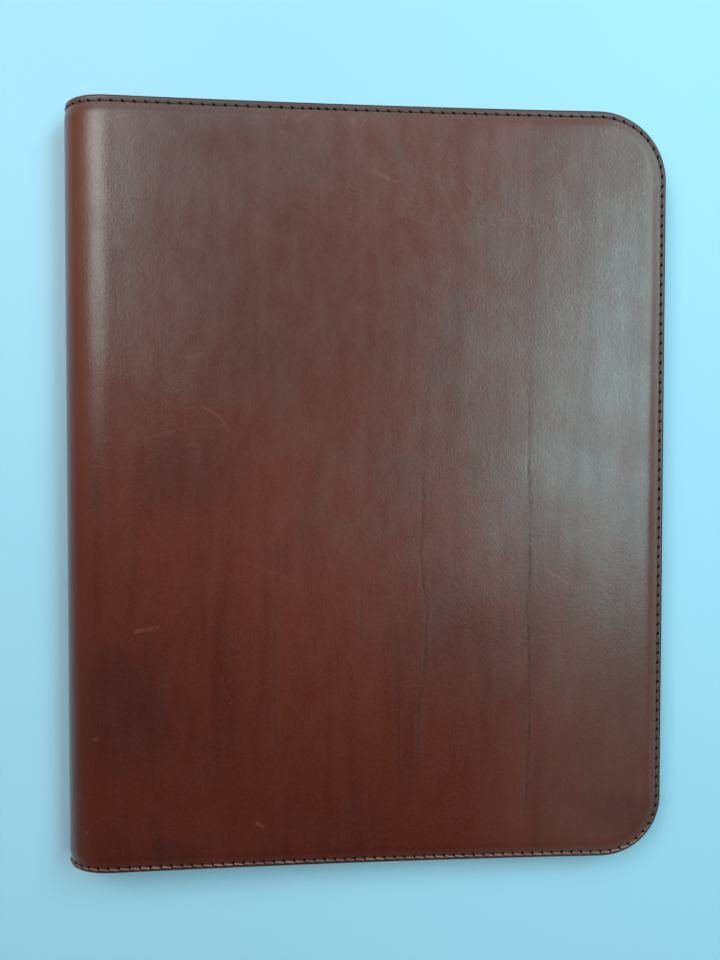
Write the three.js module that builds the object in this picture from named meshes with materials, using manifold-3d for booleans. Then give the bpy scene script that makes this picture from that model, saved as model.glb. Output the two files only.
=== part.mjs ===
// Leather notebook cover: a stitched, lined cover that folds round a refill writing pad.
// Millimetres, +Z up. The closed cover lies on its back: spine at -X, fore edge at +X, head at +Y.
// The origin is on the resting face, under the middle of the closed cover.
//
// Every sheet of the cover is a layer: it follows the outer surface at a depth below it. That surface runs flat
// under the back cover, round the spine, and down a long shallow arc over the front cover to the fore edge.

import * as THREE from 'three';
import { mergeVertices } from 'three/addons/utils/BufferGeometryUtils.js';
import Module from 'manifold-3d';

const wasm = await Module();
wasm.setup();

// Driving dimensions
const COVER_WIDTH = 250;
const COVER_HEIGHT = 315;
const SPINE_THICKNESS = 22;
const FORE_EDGE_THICKNESS = 14.5;
const CORNER_RADIUS = { head: 29, tail: 25.5 };
const LEATHER = 1.8;
const BOARD = 0.8;
const LINING = 0.8;
const POCKET_LEATHER = 0.9;
const GLUE_GAP = 0.2;
const SLIP_GAP = 0.25;

// The spine unrolls at this many equal bends.
const SPINE_BENDS = 3;
const BEND_GAP = 0.2;

// Stitching
const THREAD = 0.8;
const STITCH_INSET = { head: 2.1, tail: 1.8, fore: 1.4 };
const GROOVE_GAP = 0.25;
const THREAD_GAP = 0.1;
const POCKET_THREAD = 0.5;
const POCKET_STITCH_INSET = 2.2;

// Boards and the stitched rim that closes round them
const RIM_WIDTH = 6.5;
const BOARD_GUTTER_X = -104;

// Writing pad
const PAD_WIDTH = 210;
const PAD_HEIGHT = 297;
const PAD_X = 6;
const PAD_Y = 0;
const BACKING_BOARD = 0.8;
const PAPER_BLOCK = 2.5;
const BINDING_TAPE = 0.3;
const BINDING_WIDTH = 12;

// Pockets, as the sides where each panel ends
const DOCUMENT_POCKET = { gutter: -96, top: 100, notchRadius: 14 };
const PAD_POCKET = { gutter: -104.5, top: 20, rim: 4 };
const CARD_POCKETS = { left: -90, right: 2, bottom: 8, tops: [64, 42], leather: 0.7 };

// Pen loop
const PEN_LOOP = { x: -108, y: 78, length: 40, bore: 5.1, leather: 1.1, tabEnd: -99.5 };

const FRONT_STEP = 32;
const SPINE_STEPS = 6;
const CORNER_STEPS = 8;
const CUT_MARGIN = 2;

// Sizes that follow from them
const FORE_X = COVER_WIDTH / 2;
const HEAD_Y = COVER_HEIGHT / 2;
const SPINE_RADIUS = SPINE_THICKNESS / 2;
const SPINE_X = SPINE_RADIUS - FORE_X;
const SPAN = FORE_X - SPINE_X;
const FRONT_TURN = 2 * Math.atan((SPINE_THICKNESS - FORE_EDGE_THICKNESS) / SPAN);
const FRONT_RADIUS = SPAN / Math.sin(FRONT_TURN) - SPINE_RADIUS;
const FRONT_CENTRE_Z = FORE_EDGE_THICKNESS + FRONT_RADIUS;
const SPINE_TURN = Math.PI + FRONT_TURN;
const BEND_TURN = SPINE_TURN / SPINE_BENDS;
const FRONT_START_X = FORE_X - FRONT_RADIUS * Math.sin(FRONT_TURN);

const BOARD_DEPTH = LEATHER + GLUE_GAP;
const LINING_DEPTH = BOARD_DEPTH + BOARD + GLUE_GAP;
const LINING_FACE = LINING_DEPTH + LINING;
const POCKET_DEPTH = LINING_FACE + SLIP_GAP;
const POCKET_FACE = POCKET_DEPTH + POCKET_LEATHER;
const PAD_POCKET_DEPTH = POCKET_DEPTH + BACKING_BOARD + SLIP_GAP;
const PAD_POCKET_FACE = PAD_POCKET_DEPTH + POCKET_LEATHER;
const PAPER_Z = PAD_POCKET_FACE + SLIP_GAP;

// Materials
function finish(color, roughness) {
  return new THREE.MeshStandardMaterial({ color, roughness, metalness: 0 });
}
const outerLeather = finish(0x5e2a22, 0.42);
const innerLeather = finish(0x6b3a28, 0.62);
const greyBoard = finish(0x8d8778, 0.9);
const kraftBoard = finish(0xa58a62, 0.9);
const darkThread = finish(0x2c1712, 0.7);
const paper = finish(0xf3efe2, 0.85);
const bindingTape = finish(0x3a1f1b, 0.6);

// Solids for cutting and joining
function solidOf(geometry) {
  const bare = geometry.clone();
  bare.deleteAttribute('normal');
  bare.deleteAttribute('uv');
  const merged = mergeVertices(bare, 1e-4);
  return new wasm.Manifold(new wasm.Mesh({
    numProp: 3,
    vertProperties: new Float32Array(merged.attributes.position.array),
    triVerts: new Uint32Array(merged.index.array),
  }));
}

function geometryOf(solid) {
  const mesh = solid.getMesh();
  const geometry = new THREE.BufferGeometry();
  geometry.setAttribute('position', new THREE.BufferAttribute(mesh.vertProperties, 3));
  geometry.setIndex(new THREE.BufferAttribute(mesh.triVerts, 1));
  geometry.computeVertexNormals();
  return geometry;
}

function spread(from, to, steps) {
  return Array.from({ length: steps + 1 }, (_, i) => from + (to - from) * i / steps);
}

// Runs: the points of the cover's XZ section along one stretch, at a depth below the outer surface
function backRun(fromX, toX) {
  return depth => [fromX, toX].map(x => new THREE.Vector2(x, depth));
}

function spinePoint(turn, depth) {
  const radius = SPINE_RADIUS - depth;
  return new THREE.Vector2(SPINE_X - radius * Math.sin(turn), SPINE_RADIUS - radius * Math.cos(turn));
}

function spineRun(fromTurn, toTurn) {
  return depth => spread(fromTurn, toTurn, SPINE_STEPS).map(turn => spinePoint(turn, depth));
}

function frontPoint(x, depth) {
  const angle = Math.asin((FORE_X - x) / FRONT_RADIUS);
  const radius = FRONT_RADIUS + depth;
  return new THREE.Vector2(FORE_X - radius * Math.sin(angle), FRONT_CENTRE_Z - radius * Math.cos(angle));
}

function frontRun(fromX, toX) {
  const steps = Math.ceil((toX - fromX) / FRONT_STEP);
  return depth => spread(fromX, toX, steps).map(x => frontPoint(x, depth));
}

// Runs joined end to end; their shared points are kept once
function joined(...runs) {
  return depth => runs.flatMap((run, i) => run(depth).slice(i ? 1 : 0));
}

// A section extruded along Y between two heights
function alongHeight(points, fromY, toY) {
  const geometry = new THREE.ExtrudeGeometry(new THREE.Shape(points), { depth: toY - fromY, bevelEnabled: false });
  geometry.rotateX(Math.PI / 2);
  geometry.translate(0, toY, 0);
  return solidOf(geometry);
}

function layer(run, outerDepth, innerDepth, fromY = -HEAD_Y, toY = HEAD_Y) {
  return alongHeight([...run(outerDepth), ...run(innerDepth).reverse()], fromY, toY);
}

// Upright prisms over an XY outline, which trim the layers
function prism(shape) {
  const geometry = new THREE.ExtrudeGeometry(shape, {
    depth: SPINE_THICKNESS + 2 * CUT_MARGIN,
    bevelEnabled: false,
    curveSegments: CORNER_STEPS,
  });
  geometry.translate(0, 0, -CUT_MARGIN);
  return solidOf(geometry);
}

// The cover's outline inside its edges: square at the spine, round at the two fore corners
function coverOutline({ head, tail, fore }, left = -FORE_X - CUT_MARGIN) {
  const right = FORE_X - fore;
  const top = HEAD_Y - head;
  const bottom = tail - HEAD_Y;
  const topRadius = CORNER_RADIUS.head - Math.max(head, fore);
  const bottomRadius = CORNER_RADIUS.tail - Math.max(tail, fore);
  const shape = new THREE.Shape();
  shape.moveTo(left, bottom);
  shape.lineTo(right - bottomRadius, bottom);
  shape.absarc(right - bottomRadius, bottom + bottomRadius, bottomRadius, -Math.PI / 2, 0);
  shape.absarc(right - topRadius, top - topRadius, topRadius, 0, Math.PI / 2);
  shape.lineTo(left, top);
  return shape;
}

function evenInset(inset) {
  return { head: inset, tail: inset, fore: inset };
}

function deeperInset(inset, by) {
  return { head: inset.head + by, tail: inset.tail + by, fore: inset.fore + by };
}

// The band between two insets of the outline: U-shaped, because it stays open at the spine
function rimBand(inset, width, left = -FORE_X - CUT_MARGIN) {
  const inner = coverOutline(deeperInset(inset, width), left - CUT_MARGIN);
  return prism(coverOutline(inset, left)).subtract(prism(inner));
}

function rectangle(left, right, bottom, top) {
  const shape = new THREE.Shape();
  shape.moveTo(left, bottom);
  shape.lineTo(right, bottom);
  shape.lineTo(right, top);
  shape.lineTo(left, top);
  return shape;
}

const wholeOutline = prism(coverOutline(evenInset(0)));
const stitchBand = rimBand(STITCH_INSET, THREAD);
const grooveBand = rimBand(deeperInset(STITCH_INSET, -GROOVE_GAP), THREAD + 2 * GROOVE_GAP);

// The back and front covers run from the fore edge to the middle of the first and last bend of the spine.
// Leather and lining stop short of the bend by half the bend gap; a groove is cut on to its middle.
const BEND_TRIM = BEND_GAP / 2 / SPINE_RADIUS;

function backCoverRun(trim) {
  return joined(backRun(FORE_X, SPINE_X), spineRun(0, BEND_TURN / 2 - trim));
}

function frontCoverRun(trim) {
  return joined(spineRun(SPINE_TURN - BEND_TURN / 2 + trim, SPINE_TURN), frontRun(FRONT_START_X, FORE_X));
}

// A spine strip reaches from one bend to the next
function stripRun(index) {
  return trim => spineRun(BEND_TURN * (index - 0.5) + trim, BEND_TURN * (index + 0.5) - trim);
}

function outerLeatherOf(coverRun) {
  const groove = layer(coverRun(0), -CUT_MARGIN / 2, THREAD_GAP + THREAD + GROOVE_GAP).intersect(grooveBand);
  return layer(coverRun(BEND_TRIM), 0, LEATHER).intersect(wholeOutline).subtract(groove);
}

function perimeterThread(coverRun) {
  return layer(coverRun(BEND_TRIM), THREAD_GAP, THREAD_GAP + THREAD).intersect(stitchBand);
}

// Stiffening boards, inside the stitched rim
const boardOutline = prism(coverOutline(evenInset(RIM_WIDTH), BOARD_GUTTER_X));

function stiffener(flatRun) {
  return layer(flatRun, BOARD_DEPTH, BOARD_DEPTH + BOARD).intersect(boardOutline);
}

// Lining: close to the leather at the spine, then over the board, with a thick rim that closes round the board
const liningPast = BOARD_GUTTER_X - GLUE_GAP;

function between(left, right) {
  return prism(rectangle(left, right, -HEAD_Y - CUT_MARGIN, HEAD_Y + CUT_MARGIN));
}

function lining(coverRun, flatRun) {
  const nearSpine = layer(coverRun(BEND_TRIM), BOARD_DEPTH, BOARD_DEPTH + LINING)
    .intersect(between(-FORE_X - CUT_MARGIN, liningPast));
  const overBoard = layer(flatRun, LINING_DEPTH, LINING_FACE);
  const step = layer(flatRun, BOARD_DEPTH, LINING_FACE).intersect(between(liningPast - LINING, liningPast));
  const rim = layer(flatRun, BOARD_DEPTH, LINING_FACE)
    .intersect(rimBand(evenInset(0), RIM_WIDTH - GLUE_GAP, liningPast));
  return nearSpine.add(overBoard).add(step).add(rim).intersect(wholeOutline);
}

const backFlatRun = backRun(FORE_X, liningPast - LINING);
const frontFlatRun = frontRun(liningPast - LINING, FORE_X);

// Document pocket in the front cover, open at its top, with a thumb notch
function documentPocket() {
  const { gutter, top, notchRadius } = DOCUMENT_POCKET;
  const notch = new THREE.Shape();
  notch.absarc((gutter + FORE_X) / 2, top, notchRadius, 0, 2 * Math.PI);
  return layer(frontRun(gutter, FORE_X), POCKET_DEPTH, POCKET_FACE, -HEAD_Y, top)
    .intersect(wholeOutline)
    .subtract(prism(notch));
}

// Card pockets, stepped one over the other on the document pocket
function cardPocket(index) {
  const { left, right, bottom, tops, leather } = CARD_POCKETS;
  const depth = POCKET_FACE + SLIP_GAP + index * (leather + SLIP_GAP);
  return layer(frontRun(left, right), depth, depth + leather, bottom, tops[index]);
}

// Pad pocket in the back cover: the pad's backing board slides down behind it
function padPocket() {
  const { gutter, top, rim } = PAD_POCKET;
  const panel = layer(backRun(FORE_X, gutter), PAD_POCKET_DEPTH, PAD_POCKET_FACE, -HEAD_Y, top);
  const edge = layer(backRun(FORE_X, gutter), POCKET_DEPTH, PAD_POCKET_FACE, -HEAD_Y, top);
  const inside = prism(coverOutline({ head: 0, tail: rim, fore: rim }, gutter + rim));
  return panel.add(edge.subtract(inside)).intersect(wholeOutline);
}

// Pen loop: a leather tube along Y with a tab stitched to the lining
function penLoop() {
  const { x, length, bore, leather, tabEnd } = PEN_LOOP;
  const outer = bore + leather;
  const loop = new THREE.Shape();
  loop.absarc(0, outer, outer, Math.PI * 1.5, Math.PI * 3.5);
  const hole = new THREE.Path();
  hole.absarc(0, outer, bore, 0, 2 * Math.PI);
  loop.holes.push(hole);
  const geometry = new THREE.ExtrudeGeometry(loop, { depth: length, bevelEnabled: false, curveSegments: 12 });
  geometry.rotateX(Math.PI / 2);
  geometry.translate(0, length / 2, 0);
  const tab = alongHeight([
    new THREE.Vector2(-leather, 0),
    new THREE.Vector2(tabEnd - x, 0),
    new THREE.Vector2(tabEnd - x, leather),
    new THREE.Vector2(-leather, leather),
  ], -length / 2, length / 2);
  return solidOf(geometry).add(tab);
}

// Gummed head of the pad: a tape over the top edge, with the glue between the paper and the backing board
function padBinding() {
  const glueTop = PAPER_Z - GLUE_GAP;
  const glueBottom = POCKET_DEPTH + BACKING_BOARD + GLUE_GAP;
  const tapeBottom = PAPER_Z + PAPER_BLOCK + THREAD_GAP;
  const section = [
    [0, POCKET_DEPTH], [BINDING_TAPE, POCKET_DEPTH], [BINDING_TAPE, tapeBottom + BINDING_TAPE],
    [-BINDING_WIDTH, tapeBottom + BINDING_TAPE], [-BINDING_WIDTH, tapeBottom], [0, tapeBottom],
    [0, glueTop], [-BINDING_WIDTH, glueTop], [-BINDING_WIDTH, glueBottom], [0, glueBottom],
  ].map(([y, z]) => new THREE.Vector2(y, z));
  const geometry = new THREE.ExtrudeGeometry(new THREE.Shape(section), { depth: PAD_WIDTH, bevelEnabled: false });
  geometry.rotateY(Math.PI / 2);
  geometry.rotateX(Math.PI / 2);
  geometry.translate(-PAD_WIDTH / 2, 0, 0);
  return geometry;
}

// Scene graph
function part(name, shape, material, x = 0, y = 0, z = 0) {
  const geometry = shape.isBufferGeometry ? shape : geometryOf(shape);
  const mesh = new THREE.Mesh(geometry, material);
  mesh.name = name;
  mesh.position.set(x, y, z);
  return mesh;
}

function backCover() {
  const group = new THREE.Group();
  const { gutter, top } = PAD_POCKET;
  const stitchX = gutter + POCKET_STITCH_INSET;
  const seamLength = top + HEAD_Y - 2 * RIM_WIDTH;
  const tabMiddle = (PEN_LOOP.x + PEN_LOOP.bore + PEN_LOOP.leather + PEN_LOOP.tabEnd) / 2;
  const seam = new THREE.BoxGeometry(POCKET_THREAD, seamLength, POCKET_THREAD);
  const loopSeam = new THREE.BoxGeometry(POCKET_THREAD, PEN_LOOP.length - 4, POCKET_THREAD);
  const seamZ = PAD_POCKET_FACE + THREAD_GAP + POCKET_THREAD / 2;
  const loopSeamZ = POCKET_DEPTH + PEN_LOOP.leather + THREAD_GAP + POCKET_THREAD / 2;
  group.add(
    part('outer_leather_back', outerLeatherOf(backCoverRun), outerLeather),
    part('perimeter_thread_back', perimeterThread(backCoverRun), darkThread),
    part('stiffening_board_back', stiffener(backFlatRun), greyBoard),
    part('lining_back', lining(backCoverRun, backFlatRun), innerLeather),
    part('pad_pocket', padPocket(), innerLeather),
    part('pad_pocket_thread', seam, darkThread, stitchX, (top - HEAD_Y) / 2, seamZ),
    part('pen_loop', penLoop(), innerLeather, PEN_LOOP.x, PEN_LOOP.y, POCKET_DEPTH),
    part('pen_loop_thread', loopSeam, darkThread, tabMiddle, PEN_LOOP.y, loopSeamZ),
  );
  return group;
}

function spine() {
  const group = new THREE.Group();
  const head = HEAD_Y - STITCH_INSET.head;
  const tail = STITCH_INSET.tail - HEAD_Y;
  for (let i = 1; i < SPINE_BENDS; i += 1) {
    const run = stripRun(i)(BEND_TRIM);
    const headThread = layer(run, THREAD_GAP, THREAD_GAP + THREAD, head - THREAD, head);
    const tailThread = layer(run, THREAD_GAP, THREAD_GAP + THREAD, tail, tail + THREAD);
    group.add(
      part(`outer_leather_spine_${i}`, outerLeatherOf(stripRun(i)), outerLeather),
      part(`lining_spine_${i}`, layer(run, BOARD_DEPTH, BOARD_DEPTH + LINING), innerLeather),
      part(`perimeter_thread_spine_head_${i}`, headThread, darkThread),
      part(`perimeter_thread_spine_tail_${i}`, tailThread, darkThread),
    );
  }
  return group;
}

// A row of stitching proud of a pocket in the front cover, as a band of the layer just below the pocket's face
function pocketSeam(faceDepth, left, right, bottom, top) {
  const outer = faceDepth + THREAD_GAP;
  return layer(frontRun(left, right), outer, outer + POCKET_THREAD, bottom, top);
}

// Three sides of a card pocket, its mouth left open
function cardPocketThread(index) {
  const { left, right, bottom, tops, leather } = CARD_POCKETS;
  const face = POCKET_FACE + (index + 1) * (SLIP_GAP + leather);
  const inset = POCKET_STITCH_INSET;
  const top = tops[index] - inset;
  const low = index === 0 ? tops[1] + inset : bottom + inset;
  const full = pocketSeam(face, left + inset, right - inset, low, top);
  const inside = prism(rectangle(
    left + inset + POCKET_THREAD,
    right - inset - POCKET_THREAD,
    low + POCKET_THREAD,
    top + CUT_MARGIN,
  ));
  return full.subtract(inside);
}

function frontCover() {
  const group = new THREE.Group();
  const { gutter, top } = DOCUMENT_POCKET;
  const seamLeft = gutter + POCKET_STITCH_INSET;
  const gutterSeam = pocketSeam(
    POCKET_FACE, seamLeft, seamLeft + POCKET_THREAD, RIM_WIDTH - HEAD_Y, top - POCKET_STITCH_INSET,
  );
  group.add(
    part('outer_leather_front', outerLeatherOf(frontCoverRun), outerLeather),
    part('perimeter_thread_front', perimeterThread(frontCoverRun), darkThread),
    part('stiffening_board_front', stiffener(frontFlatRun), greyBoard),
    part('lining_front', lining(frontCoverRun, frontFlatRun), innerLeather),
    part('document_pocket', documentPocket(), innerLeather),
    part('document_pocket_thread', gutterSeam, darkThread),
  );
  CARD_POCKETS.tops.forEach((_, i) => group.add(
    part(`card_pocket_${i + 1}`, cardPocket(i), innerLeather),
    part(`card_pocket_thread_${i + 1}`, cardPocketThread(i), darkThread),
  ));
  return group;
}

function writingPad() {
  const group = new THREE.Group();
  group.position.set(PAD_X, PAD_Y, 0);
  const backing = new THREE.BoxGeometry(PAD_WIDTH, PAD_HEIGHT, BACKING_BOARD);
  const sheets = new THREE.BoxGeometry(PAD_WIDTH, PAD_HEIGHT, PAPER_BLOCK);
  const bindingY = PAD_HEIGHT / 2 + THREAD_GAP;
  group.add(
    part('pad_backing_board', backing, kraftBoard, 0, 0, POCKET_DEPTH + BACKING_BOARD / 2),
    part('paper_block', sheets, paper, 0, 0, PAPER_Z + PAPER_BLOCK / 2),
    part('pad_binding', padBinding(), bindingTape, 0, bindingY, 0),
  );
  return group;
}

const notebookCover = new THREE.Group();
notebookCover.add(backCover(), spine(), frontCover(), writingPad());

export default notebookCover;
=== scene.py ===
import math

import bmesh
import bpy
import numpy as np
from mathutils import Euler, Matrix, Vector
from numpy.linalg import norm


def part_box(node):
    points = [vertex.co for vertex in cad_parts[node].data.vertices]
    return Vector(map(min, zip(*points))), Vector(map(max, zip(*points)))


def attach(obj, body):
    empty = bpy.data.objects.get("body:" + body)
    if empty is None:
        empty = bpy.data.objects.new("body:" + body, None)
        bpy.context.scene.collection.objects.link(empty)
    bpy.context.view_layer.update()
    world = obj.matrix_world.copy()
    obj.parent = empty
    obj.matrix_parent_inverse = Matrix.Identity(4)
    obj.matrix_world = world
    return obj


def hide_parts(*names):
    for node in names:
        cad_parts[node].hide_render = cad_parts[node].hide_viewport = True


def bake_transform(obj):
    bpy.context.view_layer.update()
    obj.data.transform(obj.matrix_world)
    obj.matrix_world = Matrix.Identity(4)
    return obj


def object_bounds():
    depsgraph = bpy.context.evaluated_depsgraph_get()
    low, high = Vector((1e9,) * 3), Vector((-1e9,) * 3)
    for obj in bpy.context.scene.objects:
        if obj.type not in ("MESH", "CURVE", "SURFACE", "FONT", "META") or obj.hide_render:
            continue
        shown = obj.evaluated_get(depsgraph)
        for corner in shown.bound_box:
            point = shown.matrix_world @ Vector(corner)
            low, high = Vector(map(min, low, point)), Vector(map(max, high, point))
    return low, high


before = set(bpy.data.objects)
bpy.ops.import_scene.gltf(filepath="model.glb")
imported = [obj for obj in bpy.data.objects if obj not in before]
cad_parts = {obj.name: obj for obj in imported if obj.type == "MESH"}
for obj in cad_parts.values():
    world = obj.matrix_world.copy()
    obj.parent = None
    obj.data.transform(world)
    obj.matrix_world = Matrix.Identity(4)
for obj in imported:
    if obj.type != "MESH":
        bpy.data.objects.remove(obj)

CAD_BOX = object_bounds()

# ---------------- the cover's shape, in millimetres
# A point of the cover is (u, y, depth): u is the distance along the outer surface from the back cover's
# fore edge, round the spine, to the front cover's fore edge; y runs from tail to head; depth is below the
# outer surface.
MM = 0.001
HALF_W, HALF_H = 125.0, 157.5
SPINE_T, FORE_T = 22.0, 14.5
CORNER_R = {"head": 29.0, "tail": 25.5}
LEATHER = 1.8
BOARD_DEPTH = 2.0
LINING_NEAR_SPINE = 2.8
LINING_FACE = 3.8
POCKET_DEPTH, POCKET_FACE = 4.05, 4.95
PAD_POCKET_DEPTH, PAD_POCKET_FACE = 5.1, 6.0
BOARD_GUTTER_X = -104.0

SPINE_R = SPINE_T / 2
SPINE_X = SPINE_R - HALF_W
SPAN = HALF_W - SPINE_X
FRONT_TURN = 2 * math.atan((SPINE_T - FORE_T) / SPAN)
FRONT_R = SPAN / math.sin(FRONT_TURN) - SPINE_R
SPINE_TURN = math.pi + FRONT_TURN
U_SPINE = SPAN
U_FRONT = U_SPINE + SPINE_R * SPINE_TURN
U_END = U_FRONT + FRONT_R * FRONT_TURN
BEND = SPINE_TURN / 3
U_SPLIT = [U_SPINE + SPINE_R * BEND, U_SPINE + SPINE_R * 2 * BEND]

SHOULDER = 9.0
STITCH_INSET = {"head": 2.5, "tail": 2.2, "fore": 1.8}
PINCH, PINCH_TURN = 0.9, 0.85
TINY = 1e-6


def smooth(a, b, x):
    """0 below a, 1 above b, and an S-shaped rise between them."""
    t = np.clip((np.asarray(x, float) - a) / (b - a), 0, 1)
    return t * t * (3 - 2 * t)


def hump(x, width):
    return np.exp(-((x / width) ** 2))


def shoulder_sag(u):
    """How far the spine's rounder, elliptical shoulders fall inside a plain half circle."""
    wide = SPINE_R + SHOULDER
    off = np.maximum(U_SPINE - u, u - U_FRONT)
    along = np.clip((SHOULDER - off) / wide, 0, 1)
    on_cover = SPINE_R * (1 - np.sqrt(1 - along**2))
    turn = np.clip((u - U_SPINE) / SPINE_R, 0, SPINE_TURN)
    turn = np.minimum(np.minimum(turn, SPINE_TURN - turn), math.pi / 2)
    a = (np.sin(turn) / wide) ** 2 + (np.cos(turn) / SPINE_R) ** 2
    b = 2 * SHOULDER * np.sin(turn) / wide**2
    c = (SHOULDER / wide) ** 2 - 1
    on_spine = SPINE_R - (np.sqrt(b * b - 4 * a * c) - b) / (2 * a)
    return np.where(off > 0, on_cover, on_spine)


def section(u, depth):
    """x and z of the profile at u, depth."""
    u, depth = np.broadcast_arrays(np.asarray(u, float), np.asarray(depth, float))
    depth = depth + shoulder_sag(u)
    turn = np.clip((u - U_SPINE) / SPINE_R, 0, SPINE_TURN)
    x = SPINE_X - (SPINE_R - depth) * np.sin(turn)
    z = SPINE_R - (SPINE_R - depth) * np.cos(turn)
    angle = FRONT_TURN - (u - U_FRONT) / FRONT_R
    front = u > U_FRONT
    x = np.where(front, HALF_W - (FRONT_R + depth) * np.sin(angle), x)
    z = np.where(front, FORE_T + FRONT_R - (FRONT_R + depth) * np.cos(angle), z)
    back = u < U_SPINE
    return np.where(back, HALF_W - u, x), np.where(back, depth, z)


def place(u, y, depth):
    """Points of the row frame, in metres."""
    x, z = section(u, depth)
    return np.stack([x, np.broadcast_to(y, x.shape), z], -1) * MM


def u_of_front(x):
    """u on the front cover, or on the upper half of the spine, at a distance x across."""
    x = np.asarray(x, float)
    on_spine = U_SPINE + SPINE_R * (math.pi - np.arcsin(np.clip((SPINE_X - x) / SPINE_R, 0, 1)))
    return np.where(x < SPINE_X, on_spine, U_END - FRONT_R * np.arcsin((HALF_W - x) / FRONT_R))


def front_u(x):
    return float(u_of_front(x))


def fore_distance(u):
    return np.minimum(u, U_END - np.asarray(u, float))


def pinch(u):
    """How far the spine's ends are drawn in from the head and tail of the covers."""
    turn = (np.asarray(u, float) - U_SPINE) / SPINE_R
    return PINCH * hump(turn - SPINE_TURN / 2, PINCH_TURN)


def height_limit(u, end, inset=0.0, fore=0.0):
    """How far the outline reaches from mid-height towards one end, at u."""
    radius = CORNER_R[end] - max(inset, fore)
    across = np.maximum(radius - (fore_distance(u) - fore), 0)
    corner = radius - np.sqrt(np.maximum(radius**2 - across**2, 0))
    return HALF_H - inset - corner - pinch(u)


def inside(u, y, head=0.0, tail=0.0, fore=0.0):
    """Distance inside the outline, or inside the line that is inset from it."""
    result = None
    for end, inset, up in (("head", head, y), ("tail", tail, -np.asarray(y, float))):
        radius = CORNER_R[end] - max(inset, fore)
        across = radius - (fore_distance(u) - fore)
        along = up - (HALF_H - inset - radius)
        straight = np.minimum(radius - across, HALF_H - inset - pinch(u) - up)
        d = np.where((across > 0) & (along > 0), radius - np.hypot(across, along), straight)
        result = d if result is None else np.minimum(result, d)
    return result


def stitch_offset(u, y):
    return inside(u, y, **STITCH_INSET)


# ---------------- the hide's relief
# Creases of the front cover: points (x, y) from tail to head, depth, and how far they wander
CREASES = [
    ([(20.8, -127), (21.5, -89), (24.8, -55), (22.2, -26), (22.9, 16), (23.3, 49)], 0.06, 0.7),
    ([(67.0, -154), (67.6, -110), (68.2, -73), (67.2, -47), (68.2, -5), (67.1, 37), (67.3, 78)], 0.055, 0.65),
    ([(-38.9, -121), (-38.7, -60), (-38.7, -9)], 0.03, 0.5),
    ([(-2.8, -66), (-2.8, -40)], 0.03, 0.4),
    ([(12.0, -118), (13.2, -84)], 0.025, 0.5),
    ([(-70.0, -128), (-70.8, -92)], 0.02, 0.6),
]
DEEPEST_CREASE = max(crease[1] for crease in CREASES)
FURROW_W, RIDGE_W, RIDGE_AT, RIDGE_SHARE = 0.4, 0.9, 1.3, 0.2
FAR_FROM_CREASES = 9.0
SWELL, RIM_DROP, RIM_BAND = 0.16, 0.45, (2.8, 7.2)
GROOVE, LINING_GROOVE, GROOVE_W = 0.2, 0.16, 0.6


def crease_line(crease, y):
    """u of a crease at the height y, with its unsteady line."""
    points, _, wander = crease
    x = np.interp(y, [p[1] for p in points], [p[0] for p in points])
    a, b = points[0][0], points[-1][1]
    waves = ((1.0, 11.0, a), (0.5, 4.7, b), (0.3, 2.3, 2 * a), (0.2, 1.1, b))
    drift = sum(size * np.sin(y / length + phase) for size, length, phase in waves)
    return u_of_front(x) + 0.6 * wander * drift


def crease_envelope(crease, y):
    """How strongly a crease shows at the height y: it fades out at both ends and is broken up between."""
    points = crease[0]
    low, high = points[0][1], points[-1][1]
    v = (y - low) / (high - low)
    broken = 0.5 + 0.5 * np.sin(y / 7.3 + low) * np.sin(y / 3.1 + high)
    return smooth(0, 0.14, v) * (1 - smooth(0.6, 1.0, v)) * (0.5 + 0.5 * broken)


def crease_relief(u, y):
    total = np.zeros(np.broadcast(u, y).shape)
    for crease in CREASES:
        off = u - crease_line(crease, y)
        ridge = RIDGE_SHARE * (hump(off - RIDGE_AT, RIDGE_W) + hump(off + RIDGE_AT, RIDGE_W))
        total = total + crease[1] * crease_envelope(crease, y) * (hump(off, FURROW_W) - ridge)
    return total


def nearest_crease(u, y):
    """Distance across to the nearest crease, and how strongly it shows."""
    strength = np.zeros(np.broadcast(u, y).shape)
    off = np.full(strength.shape, FAR_FROM_CREASES)
    for crease in CREASES:
        away = u - crease_line(crease, y)
        shows = crease_envelope(crease, y) * crease[1] / DEEPEST_CREASE
        nearer = (np.abs(away) < np.abs(off)) & (shows > 0.02)
        off, strength = np.where(nearer, away, off), np.where(nearer, shows, strength)
    return off, strength


def swell(u, y):
    """Broad unevenness of a used hide, never above the outer surface."""
    wave = (
        np.sin(u / 31.0 + 1.0) * np.sin(y / 47.0 + 0.4)
        + 0.6 * np.sin(u / 19.0 + y / 38.0)
        + 0.35 * np.sin(u / 11.0 - y / 23.0 + 2.0)
    )
    flat = smooth(6, 26, inside(u, y)) * smooth(U_FRONT - 4, U_FRONT + 26, u)
    return SWELL * (1.2 + wave) * flat


def outer_depth(u, y):
    """Relief of the outer face: the softer rim past the boards, the stitched groove, creases and swell."""
    rim = RIM_DROP * (1 - smooth(*RIM_BAND, inside(u, y)))
    groove = GROOVE * hump(stitch_offset(u, y), GROOVE_W)
    return rim + groove + crease_relief(u, y) + swell(u, y)


# ---------------- meshes
CLOSEST = 0.15
ROUNDED_ROWS = 5


def rounding(d, radius):
    """How far a rounded edge falls away at a distance inside it."""
    near = np.clip(radius - d, 0, radius)
    return radius - np.sqrt(radius**2 - near**2)


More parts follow.
